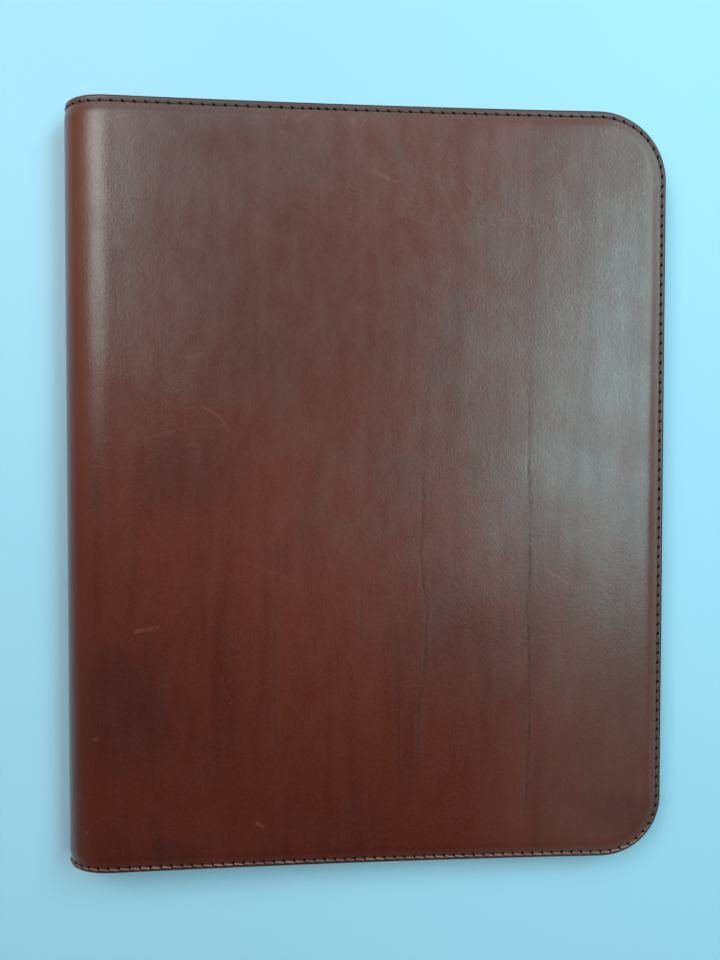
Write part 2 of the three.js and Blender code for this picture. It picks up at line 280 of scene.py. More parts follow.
def ladder(low, high, step, rings, low_edge=True, high_edge=True, dense=()):
    """Positions from low to high, with rings inside each end that is an edge, and finer in dense places."""
    start = low + rings[-1] if low_edge else low
    stop = high - rings[-1] if high_edge else high
    at, stops = start, []
    while at < stop - TINY:
        stops.append(at)
        near = [gap for centre, width, gap in dense if abs(at - centre) < width]
        at += min(near) if near else step
    if stop - stops[-1] < CLOSEST:
        stops.pop()
    stops.append(stop)
    if low_edge:
        stops = [low + d for d in rings[:-1]] + stops
    if high_edge:
        stops = stops + [high - d for d in rings[-2::-1]]
    return np.array(stops)


def rows(low, high, step, rings):
    """y of every row of each column, for a piece that reaches from low to high there."""
    count = max(2, int(round((np.max(high) - np.min(low) - 2 * rings[-1]) / step)))
    share = np.linspace(0, 1, count + 1)[1:-1]
    bottom, top = low + rings[-1], high - rings[-1]
    middle = [bottom + (top - bottom) * t for t in share]
    return np.stack([low + d for d in rings] + middle + [high - d for d in rings[::-1]], 1)


def new_object(name, points, faces, *materials, smooth_shading=True):
    """An object with its faces turned outwards."""
    mesh = bpy.data.meshes.new(name)
    corners = [tuple(p) for p in np.asarray(points, float)]
    mesh.from_pydata(corners, [], [tuple(int(i) for i in f) for f in faces])
    mesh.validate()
    loose = bmesh.new()
    loose.from_mesh(mesh)
    bmesh.ops.recalc_face_normals(loose, faces=loose.faces)
    loose.to_mesh(mesh)
    loose.free()
    mesh.polygons.foreach_set("use_smooth", [smooth_shading] * len(mesh.polygons))
    obj = bpy.data.objects.new(name, mesh)
    bpy.context.scene.collection.objects.link(obj)
    for material in materials:
        mesh.materials.append(material)
    return obj


def keep_flat_coordinates(obj, flat, edge=None):
    """Stores where each point lies on the flat hide, so that a pattern stays on the leather as it bends."""
    attribute = obj.data.attributes.new("hide", "FLOAT_VECTOR", "POINT")
    attribute.data.foreach_set("vector", (np.asarray(flat, float) * MM).astype(np.float32).ravel())
    if edge is not None:
        store(obj, "to_edge", edge)


def store(obj, name, values):
    attribute = obj.data.attributes.new(name, "FLOAT", "POINT")
    attribute.data.foreach_set("value", np.asarray(values, np.float32).ravel())


def grid_faces(index, flip):
    a, b, c, d = index[:-1, :-1], index[1:, :-1], index[1:, 1:], index[:-1, 1:]
    quads = np.stack([a, b, c, d] if not flip else [d, c, b, a], -1)
    return quads.reshape(-1, 4).tolist()


def closed_faces(n, m):
    """Faces of two grids of n by m points, one after the other, joined along their four sides."""
    a = np.arange(n * m).reshape(n, m)
    faces = grid_faces(a, False) + grid_faces(a + n * m, True)
    for line in (a[:, 0], a[-1, :], a[::-1, -1], a[0, ::-1]):
        faces += [[p, q, q + n * m, p + n * m] for p, q in zip(line, line[1:])]
    return faces


def shifted(faces, built):
    """Faces whose points come after the ones that are built already."""
    first = sum(len(points) for points in built)
    return [[first + i for i in face] for face in faces]


def sheet(name, u, y, rings, outer, inner, material, fine="outer", edge=inside):
    """A closed sheet of leather over a grid of u and y: one fine face, and one plain face ruled along y."""
    uu = np.broadcast_to(u[:, None], y.shape)
    n, m = y.shape
    few = list(range(rings)) + list(range(m - rings, m))
    depth = {"outer": outer(uu, y), "inner": inner(uu, y)}
    other = "inner" if fine == "outer" else "outer"
    faces_of = (uu, y, depth[fine]), (uu[:, few], y[:, few], depth[other][:, few])
    points = np.concatenate([place(*where).reshape(-1, 3) for where in faces_of])
    flat = np.concatenate([np.stack(where, -1).reshape(-1, 3) for where in faces_of])
    a = np.arange(n * m).reshape(n, m)
    b = n * m + np.arange(n * len(few)).reshape(n, len(few))
    turned = fine == "outer"
    faces = grid_faces(a, not turned) + grid_faces(b, turned)

    def wall(top, low, flip):
        quads = [[top[i], top[i + 1], low[i + 1], low[i]] for i in range(len(top) - 1)]
        return [q[::-1] for q in quads] if flip else quads

    faces += wall(a[:, 0], b[:, 0], turned) + wall(a[:, -1], b[:, -1], not turned)
    for column, flip in ((0, not turned), (-1, turned)):
        top, low = a[column], b[column]
        faces += wall(top[:rings], low[:rings], flip) + wall(top[m - rings:], low[rings:], flip)
        middle = list(top[rings - 1:m - rings + 1]) + [low[rings], low[rings - 1]]
        faces.append(middle[::-1] if flip else middle)
    obj = new_object(name, points, faces, material)
    to_edge = edge(uu, y)
    keep_flat_coordinates(obj, flat, np.concatenate([to_edge.ravel(), to_edge[:, few].ravel()]))
    return obj


def match_at_splits(obj, u, y, depth_of, splits, facing=1):
    """Gives the points on a cut across the spine the normal of the whole surface, so that no seam shows."""
    n, m = y.shape
    normals = np.zeros((len(obj.data.vertices), 3))
    for column, at in ((0, u[0]), (n - 1, u[-1])):
        if min(abs(at - s) for s in splits) > TINY:
            continue
        row = y[column]
        beside = [np.full(m, at + step) for step in (-0.3, 0.0, 0.3)]
        before, here, after = (place(u_there, row, depth_of(u_there, row)) for u_there in beside)
        normal = np.cross(np.gradient(here, axis=0), after - before)
        normal /= np.maximum(norm(normal, axis=1, keepdims=True), 1e-12)
        centre = np.array([SPINE_X, 0, SPINE_R]) * MM
        out = place(np.full(m, at), row, 0.0) - centre
        out[:, 1] = 0
        normal *= facing * np.sign((normal * out).sum(1))[:, None]
        keep = slice(ROUNDED_ROWS, m - ROUNDED_ROWS)
        normals[column * m:(column + 1) * m][keep] = normal[keep]
    obj.data.normals_split_custom_set_from_vertices([tuple(v) for v in normals])


# ---------------- materials
class Graph:
    """A material, or the world, and short names for the shader nodes used here."""

    def __init__(self, name, owners=bpy.data.materials, shader="Principled BSDF"):
        self.owner = owners.new(name)
        self.owner.use_nodes = True
        self.shader = self.owner.node_tree.nodes[shader]
        self.places = self.node("TexCoord", {}).outputs
        self.colour = None

    def node(self, kind, inputs, **settings):
        """A new node with its settings made, and its inputs linked or given a value."""
        node = self.owner.node_tree.nodes.new(f"ShaderNode{kind}")
        for key, value in settings.items():
            setattr(node, key, value)
        self.put(node, inputs)
        return node

    def put(self, node, inputs):
        for key, value in inputs.items():
            if isinstance(value, bpy.types.NodeSocket):
                self.owner.node_tree.links.new(value, node.inputs[key])
            elif value is not None:
                node.inputs[key].default_value = value

    def dye(self, factor, a, b):
        """Starts the colour as a blend of two."""
        self.colour = self.mix(factor, rgb(*a), rgb(*b))

    def tint(self, factor, colour):
        """Lays another colour over it."""
        self.colour = self.mix(factor, self.colour, rgb(*colour))

    def done(self, **values):
        inputs = {"Base Color": self.colour}
        inputs.update({key.replace("_", " "): value for key, value in values.items()})
        self.put(self.shader, inputs)
        return self.owner

    def math(self, operation, a, b=None, clamp=False):
        return self.node("Math", {0: a, 1: b}, operation=operation, use_clamp=clamp).outputs[0]

    def times(self, a, *others):
        for b in others:
            a = self.math("MULTIPLY", a, b)
        return a

    def fade(self, value, low, high, start=1.0):
        return self.ramp(value, low, high, start, 0.0)

    def plus(self, a, b):
        return self.math("ADD", a, b)

    def minus(self, a, b):
        return self.math("SUBTRACT", a, b)

    def vector(self, operation, a, b=None, scale=None):
        node = self.node("VectorMath", {0: a, 1: b, "Scale": scale}, operation=operation)
        return node.outputs["Value" if operation in ("LENGTH", "DOT_PRODUCT") else "Vector"]

    def combine(self, x, y):
        return self.node("CombineXYZ", {0: x, 1: y}).outputs[0]

    def part(self, vector, axis):
        return self.node("SeparateXYZ", {0: vector}).outputs[axis]

    def noise(self, vector, scale, detail, roughness=0.55, distortion=0.0):
        """Noise from 0 to 1; scale is one number, or one for each axis."""
        if isinstance(scale, tuple):
            vector, scale = self.vector("MULTIPLY", vector, scale), 1.0
        inputs = {"Scale": scale, "Detail": detail, "Roughness": roughness, "Distortion": distortion}
        return self.node("TexNoise", {"Vector": vector, **inputs}).outputs["Fac"]

    def cells(self, vector, scale):
        node = self.node("TexVoronoi", {"Vector": vector, "Scale": scale}, feature="SMOOTH_F1")
        return node.outputs["Distance"]

    def ramp(self, value, low, high, to_low=0.0, to_high=1.0):
        inputs = {"Value": value, "From Min": low, "From Max": high, "To Min": to_low, "To Max": to_high}
        return self.node("MapRange", inputs, interpolation_type="SMOOTHSTEP").outputs["Result"]

    def mix(self, factor, a, b):
        return self.node("Mix", {0: factor, 6: a, 7: b}, data_type="RGBA").outputs[2]

    def bump(self, height, strength, distance, normal=None):
        inputs = {"Strength": strength, "Distance": distance, "Height": height, "Normal": normal}
        return self.node("Bump", inputs).outputs["Normal"]

    def hide(self):
        """Where a point lies on the flat hide: distance round the cover, height, and depth, in metres."""
        return self.node("Attribute", {}, attribute_name="hide").outputs["Vector"]

    def stored(self, name):
        """A length in millimetres kept on the mesh, such as the distance inside the cut edge."""
        return self.node("Attribute", {}, attribute_name=name).outputs["Fac"]

    def near_lines(self, where, lines, width):
        """Strength of the nearest of some thin lines, each (start, end, strength), in metres."""
        marks = None
        for start, end, strength in lines:
            run = tuple(e - s for s, e in zip(start, end)) + (0,)
            rel = self.vector("SUBTRACT", where, start + (0,))
            square = run[0] ** 2 + run[1] ** 2
            t = self.math("DIVIDE", self.vector("DOT_PRODUCT", rel, run), square, clamp=True)
            d = self.vector("LENGTH", self.vector("SUBTRACT", rel, self.vector("SCALE", run, scale=t)))
            mask = self.fade(d, 0.15 * width, width, strength)
            marks = mask if marks is None else self.math("MAXIMUM", marks, mask)
        return marks


def rgb(r, g, b):
    """A colour given as sRGB 0-255."""
    def linear(c):
        c = c / 255
        return c / 12.92 if c <= 0.04045 else ((c + 0.055) / 1.055) ** 2.4
    return (linear(r), linear(g), linear(b), 1.0)


# Light scratches of the front cover: from x, y to x, y, and how strongly they show
SCRATCHES = [
    (0.3, 130.6, 10.6, 126, 0.65), (29.3, 125.2, 36, 112, 0.3), (36, 112, 41.9, 100.8, 0.2),
    (-74, 52.6, -68, 54.6, 0.35), (-67.3, 32.7, -61, 29.5, 0.4), (-61, 29.5, -57.7, 23.8, 0.3),
    (-90.8, 19.6, -76, 24.5, 0.16), (-76, 24.5, -58.9, 25.8, 0.16), (-95, -58.5, -86.3, -56.6, 0.5),
    (71.9, 15.9, 77, 11.7, 0.55), (74.4, -34.6, 86, -41, 0.7), (90.3, 116.1, 98, 96, 0.2),
    (98, 96, 105.5, 78.9, 0.12), (-53, -29.4, -28, -40, 0.12), (-28, -40, -1.6, -46.6, 0.10),
    (-46.5, -138.8, -43.8, -140, 0.85), (-74.1, 17.6, -70.1, 17.6, 0.25),
    (-119.3, 118.4, -118.6, 115.2, 0.9), (-111.4, -101.7, -111, -102.1, 0.6),
    (-119.4, -126, -119.2, -126.3, 0.5), (-116, -140.4, -115.6, -140.8, 0.5),
]
SCRATCH_WIDTH = 0.0012
# Darker stains: centre x, y, half width, half height, strength
STAINS = [
    (-77, 6, 30, 22, 0.3), (-101, -88, 32, 36, 0.5), (-80, -149, 30, 10, 0.3),
    (-100, 90, 12, 40, 0.2), (30, -60, 16, 50, 0.2), (110, -139, 24, 16, 0.35),
]


def on_hide(x, y):
    """A place of the front cover on the flat hide, in metres."""
    return front_u(x) * MM, y * MM


def hide_material():
    """Polished reddish-brown leather, with the marks of long use at their places and some painted light and
    shade.
    """
    g = Graph("polished_hide")
    hide = g.hide()
    round_cover, along = g.part(hide, 0), g.part(hide, 1)
    across = g.minus(round_cover, front_u(0) * MM)
    broad = g.noise(hide, (9, 7, 0), 4, 0.6, 0.6)
    streak = g.noise(hide, (95, 9, 0), 5, 0.6, 0.3)
    cloud = g.noise(hide, (30, 24, 0), 5, 0.62, 0.8)
    patch = g.noise(hide, (150, 62, 0), 6, 0.7, 0.1)
    fine = g.noise(hide, (900, 600, 0), 4, 0.65)
    # Low at the tail by the spine, high at the head by the fore edge, with an uneven border
    upper = g.plus(g.plus(across, g.times(along, 1.2)), g.times(g.minus(cloud, 0.5), 0.12))

    # The dye, its streaks and clouds, painted shade and a painted reflection in some regions, and the stains
    g.dye(g.ramp(broad, 0.36, 0.66), (98, 32, 21), (107, 38, 26))
    g.tint(g.times(g.ramp(streak, 0.45, 0.72), g.ramp(along, -0.09, 0.05, 0.5, 0.2)), (76, 21, 15))
    g.tint(g.ramp(cloud, 0.5, 0.75, 0, 0.35), (78, 26, 23))
    g.tint(g.ramp(fine, 0.42, 0.72, 0, 0.15), (126, 58, 42))
    # Painted shade: the colour darkens towards the tail by the spine, the side the lights reach least.
    g.tint(g.fade(upper, -0.22, -0.05, 0.45), (60, 16, 11))
    # Painted shade: darker at the head by the spine, so the reflected window light there reads grey rather
    # than red.
    head_by_spine_shade = g.times(g.fade(across, -0.07, 0.03, 0.4), g.ramp(along, -0.02, 0.1))
    g.tint(head_by_spine_shade, (58, 24, 20))
    # Painted reflection: a greyer colour at the tail by the fore edge stands in for the sheen of reflected
    # light there.
    tail_fore_edge_sheen = g.times(g.ramp(across, 0.03, 0.11, 0.0, 0.5), g.ramp(along, -0.09, 0.0, 1.0, 0.2))
    g.tint(tail_fore_edge_sheen, (100, 62, 56))
    for x, y, wide, tall, strength in STAINS:
        from_centre = g.vector("SUBTRACT", hide, (*on_hide(x, y), 0))
        shape = g.vector("LENGTH", g.vector("MULTIPLY", from_centre, (1000 / wide, 1000 / tall, 0)))
        stain = g.fade(g.plus(shape, g.times(cloud, 1.2)), 0.75, 1.6, strength)
        g.tint(stain, (62, 22, 24))

    # Scratches along wandering lines, the tan of the rolled spine with painted light towards the head, light
    # specks and curled hairlines
    wander = g.combine(g.noise(hide, 140.0, 2), g.noise(hide, 170.0, 2))
    wander = g.vector("SCALE", g.vector("SUBTRACT", wander, (0.5, 0.5, 0)), scale=0.0022)
    where = g.vector("ADD", g.vector("MULTIPLY", hide, (1, 1, 0)), wander)
    lines = [(on_hide(x0, y0), on_hide(x1, y1), strength) for x0, y0, x1, y1, strength in SCRATCHES]
    marks = g.near_lines(where, lines, SCRATCH_WIDTH)
    marks = g.times(marks, g.ramp(g.noise(hide, 500.0, 3), 0.3, 0.6, 0.1, 0.48))
    g.tint(marks, (148, 86, 68))
    spine = g.ramp(round_cover, (U_SPINE - 8) * MM, (U_SPINE + 4) * MM)
    spine = g.times(spine, g.fade(round_cover, (U_FRONT - 5) * MM, (U_FRONT + 5) * MM))
    # The spine's tan is its own colour, and its rise towards the head is painted light where more light
    # falls.
    g.tint(g.times(spine, g.ramp(along, -0.05, 0.11, 0.15, 0.8)), (118, 54, 34))
    fleck = g.noise(hide, (1500, 1200, 0), 3, 0.6)
    g.tint(g.ramp(fleck, 0.55, 0.72, 0.0, 0.25), (130, 72, 58))
    curl = g.math("ABSOLUTE", g.minus(g.noise(hide, (380, 300, 0), 2, 0.5, 0.6), 0.5))
    here_and_there = g.ramp(g.noise(hide, 75.0, 2), 0.45, 0.62)
    curl = g.times(g.fade(curl, 0.004, 0.03), here_and_there, g.ramp(upper, 0.02, 0.2))
    g.tint(g.times(curl, 0.16), (158, 122, 110))

    # Creases: a broken dark furrow of painted shade, with lighter bands on both sides
    ragged = g.minus(g.noise(hide, (900, 620, 0), 4, 0.75), 0.5)
    off = g.math("ABSOLUTE", g.plus(g.stored("crease_off"), g.times(ragged, 3.6)))
    broken = g.ramp(g.noise(hide, (400, 190, 0), 3, 0.6), 0.36, 0.58, 0.3, 0.95)
    shows = g.times(g.stored("crease_shows"), broken)
    furrow = g.times(g.fade(off, 0.15, 1.0), shows)
    # Painted shade darkens the furrow of each crease.
    g.tint(furrow, (54, 13, 11))
    g.tint(g.times(g.fade(off, 0.6, 3.2, 0.2), shows), (120, 70, 60))

    # The rubbed rim and its dark cut edge
    edge = g.stored("to_edge")
    g.tint(g.times(g.fade(edge, 2.0, 6.5, 0.65), g.ramp(upper, -0.2, 0.0, 0.2)), (103, 74, 70))
    g.tint(g.fade(edge, 0.25, 1.3, 0.9), (50, 23, 25))

    rough = g.plus(g.ramp(patch, 0.32, 0.68, 0.30, 0.40), g.ramp(fine, 0.3, 0.7, 0.0, 0.06))
    rough = g.minus(rough, g.times(curl, 0.07))
    rough = g.plus(rough, g.times(furrow, 0.08))
    rough = g.plus(rough, g.times(marks, 0.12))
    normal = g.bump(g.cells(g.vector("MULTIPLY", hide, (1, 0.65, 1)), 1250.0), 0.2, 0.00012)
    normal = g.bump(g.noise(hide, (420, 300, 0), 5, 0.65), 0.05, 0.0005, normal)
    normal = g.bump(patch, 0.05, 0.0008, normal)
    normal = g.bump(fine, 0.14, 0.0003, normal)

    # The polish is rubbed off towards the tail, at the rim and in patches, and whole on the spine
    polish = g.times(g.ramp(upper, -0.16, 0.02, 0.0, 0.8), g.ramp(edge, 3.0, 9.5, 0.15, 1.0))
    rubbed = g.times(g.ramp(cloud, 0.36, 0.62, 0.8, 1.12), g.ramp(streak, 0.4, 0.66, 1.06, 0.8))
    polish = g.times(polish, rubbed, g.ramp(patch, 0.36, 0.64, 0.8, 1.14))
    polish = g.times(g.math("MAXIMUM", polish, spine), g.minus(1.0, g.times(furrow, 0.9)))
    coat = {"Coat_Weight": polish, "Coat_Roughness": 0.31, "Coat_Normal": normal}
    return g.done(Roughness=rough, Normal=normal, Specular_IOR_Level=0.3, **coat)


def lining_material():
    g = Graph("matt_lining")
    hide = g.hide()
    nap = g.noise(hide, 900.0, 5, 0.7)
    broad = g.noise(hide, (22, 16, 0), 4, 0.6, 0.5)
    pebble = g.cells(hide, 750.0)
    g.dye(g.ramp(broad, 0.35, 0.68), (80, 40, 28), (94, 50, 36))
    g.tint(g.ramp(nap, 0.35, 0.7, 0, 0.4), (112, 66, 48))
    g.tint(g.fade(pebble, 0.0, 0.25, 0.5), (54, 27, 20))
    normal = g.bump(pebble, 0.45, 0.0003)
    normal = g.bump(nap, 0.25, 0.00025, normal)
    return g.done(Roughness=g.ramp(nap, 0.3, 0.7, 0.62, 0.78), Normal=normal, Specular_IOR_Level=0.3)


def pocket_material():
    g = Graph("pocket_leather")
    hide = g.hide()
    broad = g.noise(hide, (26, 19, 0), 4, 0.6, 0.4)
    fine = g.noise(hide, (900, 800, 0), 4, 0.65)
    pebble = g.cells(hide, 900.0)
    g.dye(g.ramp(broad, 0.35, 0.68), (108, 54, 35), (122, 66, 45))
    g.tint(g.ramp(fine, 0.4, 0.7, 0, 0.3), (136, 82, 60))
    g.tint(g.fade(pebble, 0.0, 0.22, 0.35), (70, 33, 23))
    g.tint(g.fade(g.stored("to_edge"), 0.3, 1.3, 0.9), (52, 26, 20))
    normal = g.bump(pebble, 0.35, 0.0002)
    normal = g.bump(fine, 0.15, 0.0002, normal)
    return g.done(Roughness=g.ramp(fine, 0.3, 0.7, 0.4, 0.54), Normal=normal, Specular_IOR_Level=0.4)


def thread_material():
    g = Graph("waxed_thread")
    hide = g.hide()
    worn = g.fade(g.part(hide, 1), -0.150, -0.138)
    fibre = g.noise(hide, (3000, 3000, 3000), 3, 0.6)
    g.dye(g.ramp(fibre, 0.3, 0.7), (80, 42, 33), (108, 64, 50))
    tan = g.mix(g.ramp(fibre, 0.3, 0.7), rgb(136, 94, 78), rgb(172, 132, 114))
    worn = g.times(worn, g.ramp(g.noise(hide, 60.0, 2), 0.35, 0.6, 0.35, 0.95))
    g.colour = g.mix(worn, g.colour, tan)
    return g.done(Roughness=g.ramp(fibre, 0.3, 0.7, 0.42, 0.62), Normal=g.bump(fibre, 0.3, 0.0001))


def needle_hole_material():
    g = Graph("needle_hole")
    speck = g.noise(g.places["Object"], 1800.0, 2)
    # Painted shade: the near-black colour of the discs that stand for the needle holes.
    g.dye(speck, (14, 7, 6), (28, 13, 11))
    return g.done(Roughness=0.85, Specular_IOR_Level=0.1)


def paper_material():
    g = Graph("writing_paper")
    fibre = g.noise(g.places["Object"], 700.0, 6, 0.7)
    cloud = g.noise(g.places["Object"], 24.0, 3)
    g.dye(g.ramp(cloud, 0.3, 0.7), (214, 210, 200), (220, 217, 208))
    g.tint(g.ramp(fibre, 0.4, 0.75, 0, 0.35), (200, 196, 186))
    return g.done(Roughness=0.82, Normal=g.bump(fibre, 0.15, 0.0001))


def board_material(name, pale, dark, fleck):
    g = Graph(name)
    fibre = g.noise(g.places["Object"], (420, 1100, 420), 5, 0.7)
    cloud = g.noise(g.places["Object"], 60.0, 3)
    g.dye(g.ramp(cloud, 0.3, 0.7), pale, dark)
    g.tint(g.ramp(fibre, 0.55, 0.72, 0, 0.6), fleck)
    return g.done(Roughness=g.ramp(fibre, 0.3, 0.7, 0.78, 0.9), Normal=g.bump(fibre, 0.3, 0.00015))


WEAVE = 0.0006


def tape_material():
    g = Graph("binding_cloth")
    p = g.places["Object"]
    weave = g.times(*(g.math("SINE", g.times(g.part(p, axis), 2 * math.pi / WEAVE)) for axis in (0, 1)))
    worn = g.noise(p, 300.0, 4)
    g.dye(g.ramp(weave, -0.6, 0.8), (40, 30, 28), (64, 50, 46))
    g.tint(g.ramp(worn, 0.5, 0.75, 0, 0.4), (92, 76, 70))
    return g.done(Roughness=0.7, Normal=g.bump(weave, 0.4, 0.0001))


def table_material():
    g = Graph("pale_table")
    tone = g.noise(g.places["Object"], 3.0, 2)
    g.dye(g.ramp(tone, 0.3, 0.7), (173, 207, 229), (177, 210, 231))
    return g.done(Roughness=0.6)


HIDE, LINING, POCKET = hide_material(), lining_material(), pocket_material()
THREAD, HOLE = thread_material(), needle_hole_material()


SPANS = [(0.0, U_SPLIT[0]), (U_SPLIT[0], U_SPLIT[1]), (U_SPLIT[1], U_END)]
SECTIONS = ["back", "spine", "front"]


def bend(obj, index, slot, *nodes):
    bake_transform(obj)
    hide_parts(*nodes)


def carry(obj, body, slot, *nodes):
    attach(obj, body)
    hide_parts(*nodes)


def cover_nodes(stem, index, ends=("",)):
    """The CAD nodes that the back, spine or front piece of a row stands for."""
    if SECTIONS[index] == "spine":
        return [f"{stem}_spine{end}_{k}" for end in ends for k in (1, 2)]
    return [f"{stem}_{SECTIONS[index]}"]


# ---------------- outer hide
# Distances inside the cut edge at which the mesh has a ring
RIM_RINGS = [
    0.0, 0.07, 0.22, 0.45, 0.85, 1.3, 1.65, 2.0, 2.3, 2.6, 3.0, 3.5, 4.2, 5.0, 5.8, 6.6, 7.6, 9.0, 10.5,
]
HIDE_ROUND, HIDE_UNDER_ROUND, UNDER_SHARE = 0.85, 0.8, 0.9
# Places where the mesh is finer: centre, half width, step
SPINE_BAND = ((U_SPINE + U_FRONT) / 2, (U_FRONT - U_SPINE) / 2 + 7, 0.42)


def hide_top(u, y):
    return outer_depth(u, y) + rounding(inside(u, y), HIDE_ROUND)


def hide_under(u, y):
    return LEATHER - UNDER_SHARE * rounding(inside(u, y), HIDE_UNDER_ROUND)


def cover_grid(index, step, dense):
    """Rows and columns of a piece of the cover that reaches to the rim."""
    low, high = SPANS[index]
    u = ladder(low, high, step, RIM_RINGS, low == 0, high == U_END, dense)
    return u, rows(-height_limit(u, "tail"), height_limit(u, "head"), step, RIM_RINGS)


for i, section_name in enumerate(SECTIONS):
    u, y = cover_grid(i, 1.25 if section_name == "front" else 2.2, [SPINE_BAND])
    piece = sheet(f"leather_{section_name}", u, y, len(RIM_RINGS), hide_top, hide_under, HIDE)
    creases = nearest_crease(np.broadcast_to(u[:, None], y.shape), y)
    for name, values in zip(("crease_off", "crease_shows"), creases):
        whole = np.zeros(len(piece.data.vertices))
        whole[:y.size] = values.ravel()
        store(piece, name, whole)
    match_at_splits(piece, u, y, hide_top, U_SPLIT)
    bend(piece, i, "outer_leather", *cover_nodes("outer_leather", i))

# ---------------- lining, close to the leather at the spine
GUTTER = (float(HALF_W - BOARD_GUTTER_X), front_u(BOARD_GUTTER_X))
LINING_RIM, LINING_ROUND, LINING_UNDER_ROUND = 6.3, 0.7, 0.6
CRINKLE, PRESSED, PRESSED_BAND = 0.05, 0.36, (3.6, 5.6)
NOTCH_X, NOTCH_R, NOTCH_TOP = 14.5, 14.0, 100.0
PAD_POCKET_TOP = 20.0


def over_board(u):
    """1 where the lining lies over a stiffening board, 0 between the two gutters."""
    past = [smooth(gutter - 0.6, gutter + 0.6, u) for gutter in GUTTER]
    return 1 - past[0] * (1 - past[1])


def lining_face(u, y):
    """Depth of the side of the lining that shows, with its rim pressed down where no pocket covers it."""
    edge = inside(u, y)
    face = LINING_NEAR_SPINE + (LINING_FACE - LINING_NEAR_SPINE) * over_board(u)
    groove = LINING_GROOVE * hump(stitch_offset(u, y), GROOVE_W)
    crinkle = CRINKLE * np.sin(u * 2.1 + np.sin(y / 9.0)) * (1 - over_board(u)) * smooth(3, 9, edge)
    uncovered = smooth(2, 14, y - np.where(u < SPAN, PAD_POCKET_TOP, NOTCH_TOP))
    pressed = PRESSED * (1 - smooth(*PRESSED_BAND, edge)) * over_board(u) * uncovered
    return face - groove - pressed + crinkle - rounding(edge, LINING_ROUND)


def lining_back_face(u, y):
    edge = inside(u, y)
    raised = over_board(u) * smooth(LINING_RIM - 0.3, LINING_RIM + 0.3, edge)
    return BOARD_DEPTH + raised + UNDER_SHARE * rounding(edge, LINING_UNDER_ROUND)


gutter_bands = [(g, 2.0, 0.3) for g in GUTTER]
for i, section_name in enumerate(SECTIONS):
    u, y = cover_grid(i, 2.6, [SPINE_BAND] + gutter_bands)
    name = f"lining_{section_name}"
    piece = sheet(name, u, y, len(RIM_RINGS), lining_back_face, lining_face, LINING, fine="inner")
    match_at_splits(piece, u, y, lining_face, U_SPLIT, facing=-1)
    bend(piece, i, "inner_leather", *cover_nodes("lining", i))

# ---------------- pockets
POCKET_RINGS = [0.0, 0.05, 0.15, 0.3, 0.5, 0.9, 1.3, 1.7, 2.0, 2.3, 2.6, 3.0, 3.6, 4.4, 5.6]
SEAM_INSET, SEAM_GROOVE, SEAM_GROOVE_W = 2.45, 0.12, 0.5
PILLOW, POCKET_ROUND, POCKET_REAR_ROUND = 0.06, 0.42, 0.3


def pocket(name, body, u0, u1, low, high, back, face, edge, node, dense=(), step=3.0):
    """A leather panel from u0 to u1, with a rounded edge and a seam line pressed into it."""
    u = ladder(u0, u1, step, POCKET_RINGS, dense=dense)
    y = rows(low(u), high(u), step, POCKET_RINGS)

    def front(u, y):
        d = edge(u, y)
        groove = SEAM_GROOVE * hump(d - SEAM_INSET, SEAM_GROOVE_W)
        pillow = PILLOW * np.sin(u / 13.0 + 1) * np.sin(y / 17.0) * smooth(4, 12, d)
        return face - groove - pillow - rounding(d, POCKET_ROUND)

    def rear(u, y):
        return back(u, y) + rounding(edge(u, y), POCKET_REAR_ROUND)

    piece = sheet(name, u, y, len(POCKET_RINGS), rear, front, POCKET, fine="inner", edge=edge)
    carry(piece, body, "inner_leather", node)


DOCUMENT_GUTTER = front_u(-96.0)


def x_of(u):
    return section(u, 0.0)[0]


def notch_height(u):
    across = np.clip(np.abs(x_of(u) - NOTCH_X) / NOTCH_R, 0, 1)
    return NOTCH_TOP - NOTCH_R * np.sqrt(1 - across**2)


def document_edge(u, y):
    notch = np.hypot(x_of(u) - NOTCH_X, y - NOTCH_TOP) - NOTCH_R
    return np.maximum(np.minimum.reduce([inside(u, y), u - DOCUMENT_GUTTER, NOTCH_TOP - y, notch]), 0)


def tail_limit(u):
    return -height_limit(u, "tail")


def level(value):
    return lambda u: np.full(len(u), float(value))


def flat_at(depth):
    return lambda u, y: np.full(np.shape(u), depth)


notch_bands = [(front_u(NOTCH_X + k * NOTCH_R), 2.2, 0.2) for k in (-1, 1)]
pocket(
    "document_pocket_panel", "front_cover", DOCUMENT_GUTTER, U_END, tail_limit, notch_height,
    flat_at(POCKET_DEPTH), POCKET_FACE, document_edge, "document_pocket",
    dense=notch_bands + [(front_u(NOTCH_X), NOTCH_R, 1.0)], step=2.6,
)

CARD_LEFT, CARD_RIGHT, CARD_BOTTOM, CARD_TOPS = -90.0, 2.0, 8.0, (64.0, 42.0)
CARD_LEATHER, SLIP = 0.7, 0.25
CARD_U = (front_u(CARD_LEFT), front_u(CARD_RIGHT))
card_faces = []
for i, top in enumerate(CARD_TOPS):
    depth = POCKET_FACE + SLIP + i * (CARD_LEATHER + SLIP)
    card_faces.append(depth + CARD_LEATHER)

    def card_edge(u, y, top=top):
        return np.maximum(np.minimum.reduce([u - CARD_U[0], CARD_U[1] - u, y - CARD_BOTTOM, top - y]), 0)

    pocket(
        f"card_pocket_panel_{i + 1}", "front_cover", *CARD_U, level(CARD_BOTTOM), level(top),
        flat_at(depth), card_faces[i], card_edge, f"card_pocket_{i + 1}",
    )

PAD_POCKET_U = HALF_W + 104.5


def pad_pocket_sides(u, y):
    return np.minimum(inside(u, y), PAD_POCKET_U - u)


def pad_pocket_edge(u, y):
    return np.maximum(np.minimum(pad_pocket_sides(u, y), PAD_POCKET_TOP - y), 0)


